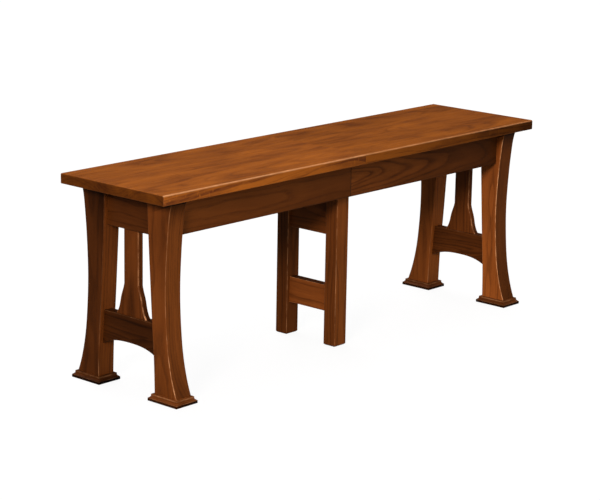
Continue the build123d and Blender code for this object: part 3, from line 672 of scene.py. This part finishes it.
class BENCH_OT_splats(Operator):
    """Upright splats that flare out above the stretchers"""
    bl_idname = "bench.splats"
    bl_label = "Splats"
    lights = {"left": 0.75, "right": 0.74}
    # painted shade and light on the curved sides, darkest at the flare and lighter above it
    side_shade_share = 0.35
    top_side_light_share = 1.5
    # the splats' edges are rubbed and carry a painted highlight, less towards the top
    top_rub_and_highlight_share = 0.25

    def execute(self, context):
        shape = context.scene.bench_shape
        for half, side in SIDES.items():
            name = f"{half}_splat"
            low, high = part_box(name)
            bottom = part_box(f"{half}_stretcher")[1].z
            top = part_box(f"{half}_end_rail")[0].z
            waist = shape.splat_width / 2
            flare = [(waist + out * (high.y - waist), bottom + lift * shape.splat_flare_height)
                     for lift, out in SPLAT_FLARE_SHARES]
            edge = np.concatenate([spline_through(flare, CURVE_STEPS), [(waist, top)]])
            cut = Cut((0, 0, 1), (side, 0, 0), heart=0.03, light=self.lights[half], rub=2.0, bold=1.2)
            sides = fading(low, high, Z, self.side_shade_share, self.top_side_light_share, bend=3)

            def shade(points):
                return 1 + (sides(points) - 1) * from_flats(points, low, high, shape.splat_round)

            board(name, edge, (0, 1, 0, 1), shape.splat_round, cut, shade,
                  fading(low, high, Z, 1, self.top_rub_and_highlight_share, bend=5))
        return {"FINISHED"}


class BENCH_OT_centre(Operator):
    """Posts, upper rail and stretcher of the centre leg"""
    bl_idname = "bench.centre"
    bl_label = "Centre leg"
    lights = {"front": 1.06, "back": 0.6}
    end_shares = {"front": (0.71, 1.0), "back": (1.0, 1.0)}
    # each with its heart and how light it is
    rails = (("centre_upper_rail", 0.05, 0.74), ("centre_lower_stretcher", 0.03, 1.18))
    # painted shadow lies on their upper faces
    upper_shadow_share = 0.3

    def execute(self, context):
        shape = context.scene.bench_shape
        for face_name, face in FACES.items():
            name = f"centre_{face_name}_post"
            low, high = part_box(name)
            chamfer = shape.post_chamfer
            place = np.array([low.z, low.z, low.z + chamfer, high.z, high.z, high.z])
            inset = np.array([chamfer + SUPPORT, chamfer, 0, 0, 0, SUPPORT])
            outline = rectangle(low[:2], high[:2], [shape.post_round] * 4)
            cut = Cut((0, 0, 1), (0, face, 0), heart=0.045, light=self.lights[face_name])
            wooden(name, carry(outline, (place, inset, np.zeros(len(place))), Z), cut,
                   faced(low, high, {(X, -1): self.end_shares[face_name]}, shape.post_round))
        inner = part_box("centre_back_post")[0].y
        for name, heart, light in self.rails:
            low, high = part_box(name)
            end = np.array([(inner, low.z), (inner, high.z)])
            cut = Cut((0, 1, 0), (1, 0, 0), heart=heart, light=light)
            board(name, end, (1, 0, 1, 0), shape.rail_round, cut,
                  faced(low, high, {(Z, 1): (self.upper_shadow_share,) * 2}))
        return {"FINISHED"}


# materials

class Wiring:
    """Short ways to add nodes to a shader tree and link them."""

    def __init__(self, tree):
        self.tree = tree

    def node(self, kind, inputs=None, **settings):
        """Adds a node, with settings as attributes, and sets or links its inputs."""
        made = self.tree.nodes.new(kind)
        for name, value in settings.items():
            setattr(made, name, value)
        for name, value in (inputs or {}).items():
            if isinstance(value, bpy.types.NodeSocket):
                self.tree.links.new(value, made.inputs[name])
            else:
                made.inputs[name].default_value = value
        return made

    def group(self, name, inputs):
        """The outputs of a shared node group with these inputs."""
        return self.node("ShaderNodeGroup", inputs, node_tree=bpy.data.node_groups[name]).outputs

    def stored(self, name, output="Fac"):
        """A value or vector stored on the piece."""
        return self.node("ShaderNodeAttribute", attribute_name=name).outputs[output]

    def math(self, operation, *values, clamp=False):
        """One Math node's result."""
        return self.node("ShaderNodeMath", dict(enumerate(values)), operation=operation,
                         use_clamp=clamp).outputs[0]

    def stretched(self, vector, scale):
        """A vector with each part multiplied, which stretches the pattern that reads it."""
        return self.node("ShaderNodeVectorMath", {0: vector, 1: scale}, operation="MULTIPLY").outputs[0]

    def noise(self, vector, scale, detail=2.0, roughness=0.5, output="Fac"):
        """Noise over a stretched vector: the scale is in lumps per metre along each of its parts."""
        return self.node("ShaderNodeTexNoise", {"Vector": self.stretched(vector, scale), "Scale": 1.0,
                         "Detail": detail, "Roughness": roughness}).outputs[output]

    def ranged(self, value, low, high, to_low=0.0, to_high=1.0):
        """A value carried from one range to another, held inside it, with soft ends."""
        return self.node("ShaderNodeMapRange", {"Value": value, "From Min": low, "From Max": high,
                         "To Min": to_low, "To Max": to_high}, interpolation_type="SMOOTHSTEP").outputs[0]

    def mix(self, factor, a, b):
        """Two colours mixed: the Mix node keeps its colour sockets at 6 and 7, and their result at 2."""
        return self.node("ShaderNodeMix", {0: factor, 6: a, 7: b}, data_type="RGBA").outputs[2]


def new_group(name, inputs, outputs):
    """An empty shader node group's wiring, and its named sockets within."""
    tree = bpy.data.node_groups.new(name, "ShaderNodeTree")
    for text, kind, value in inputs:
        socket = tree.interface.new_socket(name=text, in_out="INPUT", socket_type=kind)
        if value is not None:
            socket.default_value = value
    for text in outputs:
        tree.interface.new_socket(name=text, in_out="OUTPUT", socket_type="NodeSocketFloat")
    wiring = Wiring(tree)
    return wiring, wiring.node("NodeGroupInput").outputs, wiring.node("NodeGroupOutput").inputs


def figure_group():
    """Figure of sawn wood from places in its log: growth rings about the heart, fine fibres,
    open pores in the early wood and ray flecks, each 0 to 1."""
    w, given, out = new_group("wood_figure", [
        ("Log Place", "NodeSocketVector", None), ("Ring Pitch", "NodeSocketFloat", 0.0065),
        ("Wander", "NodeSocketFloat", 0.014)], ["Bands", "Rings", "Fibres", "Pores", "Flecks", "Height"])
    # the grain strays from straight, and the distance from the heart with it
    place = given["Log Place"]
    parts = w.node("ShaderNodeSeparateXYZ", {0: place}).outputs
    drift = w.noise(place, (3.0, 11.0, 11.0), detail=2.0, output="Color")
    drift = w.node("ShaderNodeVectorMath", {0: drift, 1: (0.5, 0.5, 0.5)}, operation="SUBTRACT").outputs[0]
    drift = w.node("ShaderNodeSeparateXYZ", {0: drift}).outputs
    reach = w.math("MULTIPLY", given["Wander"], 2.0)
    out_way = w.math("MULTIPLY_ADD", drift[1], reach, parts[1])
    round_way = w.math("MULTIPLY_ADD", drift[2], reach, parts[2])
    radius = w.math("SQRT", w.math("ADD", w.math("MULTIPLY", out_way, out_way),
                                   w.math("MULTIPLY", round_way, round_way)))
    bent = w.node("ShaderNodeCombineXYZ", {0: parts[0], 1: out_way, 2: round_way}).outputs[0]

    # wide bands, and rings of uneven width, which darken slowly and end sharply
    flat = w.node("ShaderNodeCombineXYZ", {0: radius, 1: parts[0]}).outputs[0]
    bands = w.noise(flat, (55.0, 2.4, 0.0), detail=3.0, roughness=0.55)
    uneven = w.noise(flat, (120.0, 0.4, 0.0), detail=1.0)
    turns = w.math("ADD", w.math("DIVIDE", radius, given["Ring Pitch"]), w.math("MULTIPLY", uneven, 1.6))
    phase = w.math("FRACT", turns)
    rings = w.math("MULTIPLY", w.ranged(phase, 0.0, 0.45), w.ranged(phase, 1.0, 0.93))

    # patterns drawn out along the log, and flecks along its rays
    fibres = w.noise(bent, (18.0, 300.0, 300.0), detail=4.0, roughness=0.7)
    streaks = w.noise(bent, (4.5, 85.0, 85.0), detail=3.0, roughness=0.6)
    pore_noise = w.noise(place, (38.0, 1500.0, 1500.0), detail=1.0)
    early = w.ranged(phase, 0.5, 0.05)
    pores = w.math("MULTIPLY", w.ranged(pore_noise, 0.56, 0.66), w.math("MULTIPLY_ADD", early, 0.8, 0.2))
    fleck_noise = w.noise(bent, (150.0, 45.0, 1100.0), detail=1.0)
    flecks = w.ranged(fleck_noise, 0.64, 0.72)

    relief = w.math("ADD", w.math("MULTIPLY", fibres, 0.35), w.math("MULTIPLY", rings, 0.2))
    values = {"Bands": bands, "Rings": rings, "Pores": pores, "Flecks": flecks,
              "Fibres": w.math("ADD", w.math("MULTIPLY", fibres, 0.5), w.math("MULTIPLY", streaks, 0.5)),
              "Height": w.math("SUBTRACT", relief, w.math("MULTIPLY", pores, 0.9))}
    for name, value in values.items():
        w.tree.links.new(value, out[name])


def rub_and_highlight_group():
    """How far an eased edge is rubbed and painted with a highlight: its mark, broken up by noise down to a
    least share.
    """
    w, given, out = new_group("edge_rub", [
        ("Worn", "NodeSocketFloat", 0.0), ("Place", "NodeSocketVector", None),
        ("Least", "NodeSocketFloat", 0.5)], ["Rubbed"])
    patches = w.noise(given["Place"], (38.0, 38.0, 38.0), detail=3.0, roughness=0.6)
    broken = w.ranged(patches, 0.35, 0.65, given["Least"], 1.0)
    w.tree.links.new(w.math("MULTIPLY", given["Worn"], broken), out["Rubbed"])


def blank_material(name):
    """The material of that name, emptied, and its wiring."""
    material = bpy.data.materials.get(name) or bpy.data.materials.new(name)
    material.use_nodes = True
    material.node_tree.nodes.clear()
    return material, Wiring(material.node_tree)


def wood_material(name, wood, finish, figure, contrast, sheen, gloss, along=None, least=0.5):
    """A wood from the shared figure, in the finish's colours for it. Without a grain stored on the
    piece, its grain runs along an axis, off a heart of its own. Sheen is the mean roughness, which
    falls from the dark fibres to the light ones and where an edge is rubbed."""
    heart, pore_share = (0.0, 0.05, 0.02), 0.35
    dark_rough, light_rough, polish = sheen + 0.06, sheen - 0.04, 0.08
    relief = {"Strength": 0.35, "Distance": 0.0004}
    material, w = blank_material(name)
    dark, light = getattr(finish, f"{wood}_dark")[:], getattr(finish, f"{wood}_light")[:]
    where = w.node("ShaderNodeTexCoord").outputs["Object"]
    if along is None:
        log = w.stored("grain", "Vector")
    else:
        log = w.node("ShaderNodeMapping", {0: where, "Location": heart, "Rotation": along}).outputs[0]
    parts = w.group("wood_figure", {"Log Place": log, "Ring Pitch": finish.ring_pitch,
                                    "Wander": finish.wander})
    clouds = w.noise(log, (7.0, 22.0, 22.0), detail=3.0)
    tone = 0.5
    for pattern, value in (("bands", parts["Bands"]), ("fibres", parts["Fibres"]),
                           ("rings", parts["Rings"]), ("clouds", clouds)):
        depth = figure[pattern]
        tone = w.math("MULTIPLY_ADD", value, depth, w.math("SUBTRACT", tone, depth / 2))
    if along is None:
        contrast = w.math("MULTIPLY", w.stored("bold"), contrast)
    tone = w.math("MULTIPLY_ADD", w.math("SUBTRACT", tone, 0.5), contrast, 0.5, clamp=True)
    shade = w.mix(tone, dark, light)
    pore = tuple(pore_share * c for c in dark[:3]) + (1.0,)
    shade = w.mix(w.math("MULTIPLY", parts["Pores"], figure["pores"]), shade, pore)
    shade = w.mix(w.math("MULTIPLY", parts["Flecks"], figure["flecks"]), shade, light)
    rough = w.ranged(parts["Fibres"], 0.3, 0.7, dark_rough, light_rough)
    if along is None:
        # the stored share of how light the piece is, which holds painted light and shade as well as the
        # stain's tone
        shade = w.node("ShaderNodeVectorMath", {0: shade, "Scale": w.stored("light")},
                       operation="SCALE").outputs[0]
        # rubbed edges: the colour turns towards the rubbed one, which is partly real wear and partly a
        # painted highlight, and the lacquer is smoother there
        rubbed = w.group("edge_rub", {"Worn": w.stored("worn"), "Place": where, "Least": least})["Rubbed"]
        shade = w.mix(rubbed, shade, finish.rubbed)
        rough = w.math("MULTIPLY_ADD", rubbed, -polish, rough)
    bump = w.node("ShaderNodeBump", {"Height": parts["Height"], **relief}).outputs[0]
    surface = w.node("ShaderNodeBsdfPrincipled", {"Base Color": shade, "Roughness": rough, "Normal": bump,
                     "Specular IOR Level": gloss}).outputs[0]
    w.node("ShaderNodeOutputMaterial", {"Surface": surface})


def steel_material(name, tint, metal, rough):
    """Worked steel: fine lines of the cutter, oil stains and a little relief. Roughness rises from a
    little under the given one to over it with the stains."""
    dull_share, line_share = 0.55, 0.3
    relief = {"Strength": 0.2, "Distance": 0.0001}
    material, w = blank_material(name)
    where = w.node("ShaderNodeTexCoord").outputs["Object"]
    lines = w.noise(where, (400.0, 2500.0, 2500.0), detail=2.0)
    stains = w.noise(where, (90.0, 90.0, 90.0), detail=4.0, roughness=0.6)
    dull = tuple(dull_share * c for c in tint[:3]) + (1.0,)
    shade = w.mix(w.ranged(stains, 0.4, 0.7), tint, dull)
    shade = w.mix(w.math("MULTIPLY", w.ranged(lines, 0.45, 0.65), line_share), shade, dull)
    gloss = w.math("MULTIPLY_ADD", stains, 0.25, rough - 0.1)
    bump = w.node("ShaderNodeBump", {"Height": lines, **relief}).outputs[0]
    surface = w.node("ShaderNodeBsdfPrincipled", {"Base Color": shade, "Roughness": gloss, "Normal": bump,
                     "Metallic": metal}).outputs[0]
    w.node("ShaderNodeOutputMaterial", {"Surface": surface})


class BENCH_OT_finishes(Operator):
    """Woods and steels, also put on the pieces that are the frame's own"""
    bl_idname = "bench.finishes"
    bl_label = "Finishes"
    # how deep each part of the figure goes
    seat_figure = {"bands": 0.4, "fibres": 0.8, "rings": 0.17, "clouds": 1.1, "pores": 0.5, "flecks": 0.6}
    frame_figure = {"bands": 0.7, "fibres": 0.8, "rings": 0.26, "clouds": 0.6, "pores": 0.45, "flecks": 0.1}
    plain_figure = {"bands": 0.5, "fibres": 0.5, "rings": 0.1, "clouds": 0.3, "pores": 0.05, "flecks": 0.25}
    # turns that lay the grain of pieces without a stored one along X and along Y
    along_x = (0, 0, 0)
    along_y = (0, 0, math.pi / 2)

    def execute(self, context):
        f = context.scene.bench_finish
        figure_group()
        rub_and_highlight_group()
        wood_material("seat_oak", "seat", f, self.seat_figure, contrast=1.5, sheen=0.36,
                      gloss=f.gloss / 4, least=0.7)
        wood_material("frame_oak", "frame", f, self.frame_figure, contrast=1.3, sheen=0.4,
                      gloss=f.gloss, least=0.1)
        wood_material("hidden_oak", "hidden", f, self.seat_figure, contrast=1.0, sheen=0.6,
                      gloss=0.2, along=self.along_y)
        wood_material("slide_maple", "maple", f, self.plain_figure, contrast=1.0, sheen=0.45,
                      gloss=0.3, along=self.along_x)
        wood_material("dowel_beech", "beech", f, self.plain_figure, contrast=1.0, sheen=0.55,
                      gloss=0.3, along=self.along_x)
        steel_material("gear_steel", f.steel[:], metal=1.0, rough=0.4)
        steel_material("screw_steel", f.screw_steel[:], metal=1.0, rough=0.38)
        steel_material("latch_steel", f.latch_steel[:], metal=0.7, rough=0.45)
        for name, slot in SLOTS.items():
            materials = frame["nodes"][name].data.materials
            materials.clear()
            materials.append(bpy.data.materials[slot])
        return {"FINISHED"}


def lamp(name, toward, spread, strength, tint=(1.0, 1.0, 1.0)):
    """A far soft lamp that lights evenly from one way, with the given width of its source."""
    light = bpy.data.lights.new(name, "SUN")
    light.angle = spread
    light.energy = strength
    light.color = tint
    shown = bpy.data.objects.new(name, light)
    shown.location = toward
    shown.rotation_euler = Vector(toward).to_track_quat("Z", "Y").to_euler()
    bpy.context.scene.collection.objects.link(shown)
    return shown


class BENCH_OT_stage(Operator):
    """Pale floor that is clear from below, soft lamps, white surroundings and the camera"""
    bl_idname = "bench.stage"
    bl_label = "Stage"
    floor_half = 20.0
    floor_gap = 0.0003
    # the ways towards the lamps
    key_way = (-2.4, -1.14, 1.2)
    front_way = (-0.3, -2.2, 0.45)
    top_way = (0.1, 0.3, 3.0)
    back_way = (1.2, 2.4, 1.5)

    def execute(self, context):
        s = context.scene.bench_stage
        self.floor(s)
        self.sky(context.scene, s)
        lamp("key_lamp", self.key_way, s.key_spread, s.key, s.key_tint[:3])
        lamp("front_lamp", self.front_way, s.soft_spread, s.front)
        lamp("top_lamp", self.top_way, s.soft_spread, s.top)
        lamp("back_lamp", self.back_way, s.soft_spread, s.back).visible_glossy = False
        self.camera(context.scene, s)
        context.scene.view_settings.view_transform = "Standard"
        return {"FINISHED"}

    def floor(self, s):
        """A wide floor just under the bench, which glows for the camera alone."""
        half, z = self.floor_half, -self.floor_gap
        mesh = bpy.data.meshes.new("floor")
        square = [(-half, -half, z), (half, -half, z), (half, half, z), (-half, half, z)]
        mesh.from_pydata(square, [], [(0, 1, 2, 3)])
        material, w = blank_material("pale_floor")
        seen = w.node("ShaderNodeLightPath").outputs["Is Camera Ray"]
        diffuse = w.node("ShaderNodeBsdfDiffuse", {"Color": s.floor[:]}).outputs[0]
        glow = w.node("ShaderNodeEmission", {"Strength": w.math("MULTIPLY", seen, s.floor_glow)}).outputs[0]
        both = w.node("ShaderNodeAddShader", {0: diffuse, 1: glow}).outputs[0]
        clear = w.node("ShaderNodeBsdfTransparent").outputs[0]
        below = w.node("ShaderNodeNewGeometry").outputs["Backfacing"]
        surface = w.node("ShaderNodeMixShader", {0: below, 1: both, 2: clear}).outputs[0]
        w.node("ShaderNodeOutputMaterial", {"Surface": surface})
        mesh.materials.append(material)
        floor = bpy.data.objects.new("floor", mesh)
        bpy.context.scene.collection.objects.link(floor)

    def sky(self, scene, s):
        """White all round for the camera, an even dim light for the bench, and in its gloss dim walls
        under a white ceiling."""
        world = bpy.data.worlds.new("white_room")
        world.use_nodes = True
        world.node_tree.nodes.clear()
        w = Wiring(world.node_tree)
        path = w.node("ShaderNodeLightPath").outputs
        way = w.node("ShaderNodeTexCoord").outputs["Generated"]
        height = w.node("ShaderNodeSeparateXYZ", {0: way}).outputs[2]
        overhead = w.ranged(height, s.wall_top, 1.0, s.wall_shine, 1.0)
        mirrored_ray = w.math("MAXIMUM", path["Is Glossy Ray"], path["Is Transmission Ray"])
        strength = w.math("MULTIPLY_ADD", mirrored_ray, w.math("SUBTRACT", overhead, s.sky), s.sky)
        strength = w.math("MAXIMUM", strength, path["Is Camera Ray"])
        shader = w.node("ShaderNodeBackground", {"Strength": strength, "Color": (1.0, 1.0, 1.0, 1.0)})
        w.node("ShaderNodeOutputWorld", {"Surface": shader.outputs[0]})
        scene.world = world

    def camera(self, scene, s):
        """Camera on a sphere about its target: back = (sin a cos e, -cos a cos e, sin e), level right
        = (cos a, sin a, 0), then rolled about back."""
        a, e = s.azimuth, s.elevation
        back = Vector((math.sin(a) * math.cos(e), -math.cos(a) * math.cos(e), math.sin(e)))
        right = Vector((math.cos(a), math.sin(a), 0.0))
        up = back.cross(right)
        rolled = math.cos(s.roll) * right + math.sin(s.roll) * up
        above = back.cross(rolled)
        view = bpy.data.cameras.new("camera")
        view.lens = s.lens
        view.clip_end = 100.0
        shown = bpy.data.objects.new("camera", view)
        turn = Matrix((rolled, above, back)).transposed().to_4x4()
        shown.matrix_world = Matrix.Translation(Vector(s.target) + back * s.distance) @ turn
        scene.collection.objects.link(shown)
        scene.camera = shown


class BENCH_PT_sidebar(Panel):
    """Lists the bench's pieces and values"""
    bl_label = "Extension bench"
    bl_idname = "BENCH_PT_sidebar"
    bl_space_type = "VIEW_3D"
    bl_region_type = "UI"
    bl_category = "Bench"

    def draw(self, context):
        for operator in OPERATORS:
            self.layout.operator(operator.bl_idname)
        for group in GROUPS:
            values = getattr(context.scene, group)
            column = self.layout.column()
            for name in values.bl_rna.properties.keys():
                if name not in ("rna_type", "name"):
                    column.prop(values, name)


OPERATORS = [BENCH_OT_finishes, BENCH_OT_seat, BENCH_OT_aprons, BENCH_OT_legs, BENCH_OT_feet,
             BENCH_OT_rails, BENCH_OT_splats, BENCH_OT_centre, BENCH_OT_stage]
GROUPS = {"bench_shape": BenchShape, "bench_finish": BenchFinish, "bench_stage": BenchStage}
CLASSES = [*GROUPS.values(), *OPERATORS, BENCH_PT_sidebar]


def register():
    """Registers the classes and gives the scene its values."""
    for kind in CLASSES:
        bpy.utils.register_class(kind)
    for name, group in GROUPS.items():
        setattr(bpy.types.Scene, name, PointerProperty(type=group))


def unregister():
    """Takes away what register() added."""
    for name in GROUPS:
        delattr(bpy.types.Scene, name)
    for kind in reversed(CLASSES):
        bpy.utils.unregister_class(kind)


def main():
    """Builds the bench and its stage."""
    register()
    bpy.ops.bench.finishes()
    bpy.ops.bench.seat()
    bpy.ops.bench.aprons()
    bpy.ops.bench.legs()
    bpy.ops.bench.feet()
    bpy.ops.bench.rails()
    bpy.ops.bench.splats()
    bpy.ops.bench.centre()
    bpy.ops.bench.stage()


if __name__ == "__main__":
    main()
